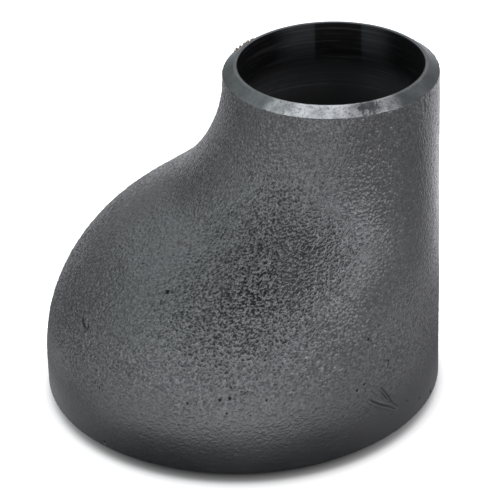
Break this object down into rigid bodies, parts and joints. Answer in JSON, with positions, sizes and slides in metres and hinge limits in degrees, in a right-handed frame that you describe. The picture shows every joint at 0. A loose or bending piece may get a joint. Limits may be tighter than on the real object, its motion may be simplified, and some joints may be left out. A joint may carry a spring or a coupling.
{
  "type": "pipe reducer",
  "caption": "Black-coated seamless steel pipe reducer with one straight side, joining a large pipe to a smaller one by butt welds on bevelled ends.",
  "frame": {"origin": "centre of the large end, in the plane of its root face", "axes": "+Z from the large end to the small end, along the flow; +X towards the straight side; Y across, and the part is the same on both sides of y = 0"},
  "size_m": [0.1146, 0.1146, 0.102],
  "materials": {
    "forged_steel": "machined satin on the weld bevels",
    "outer_coat": "thin black paint, semi-gloss over a shot-blasted skin",
    "bore_coat": "thin black paint, glossy over a smooth bore"
  },
  "bodies": {
    "root": {"forged_shell": "forged_steel", "outer_paint_coat": "outer_coat", "bore_paint_coat": "bore_coat"}
  },
  "joints": []
}
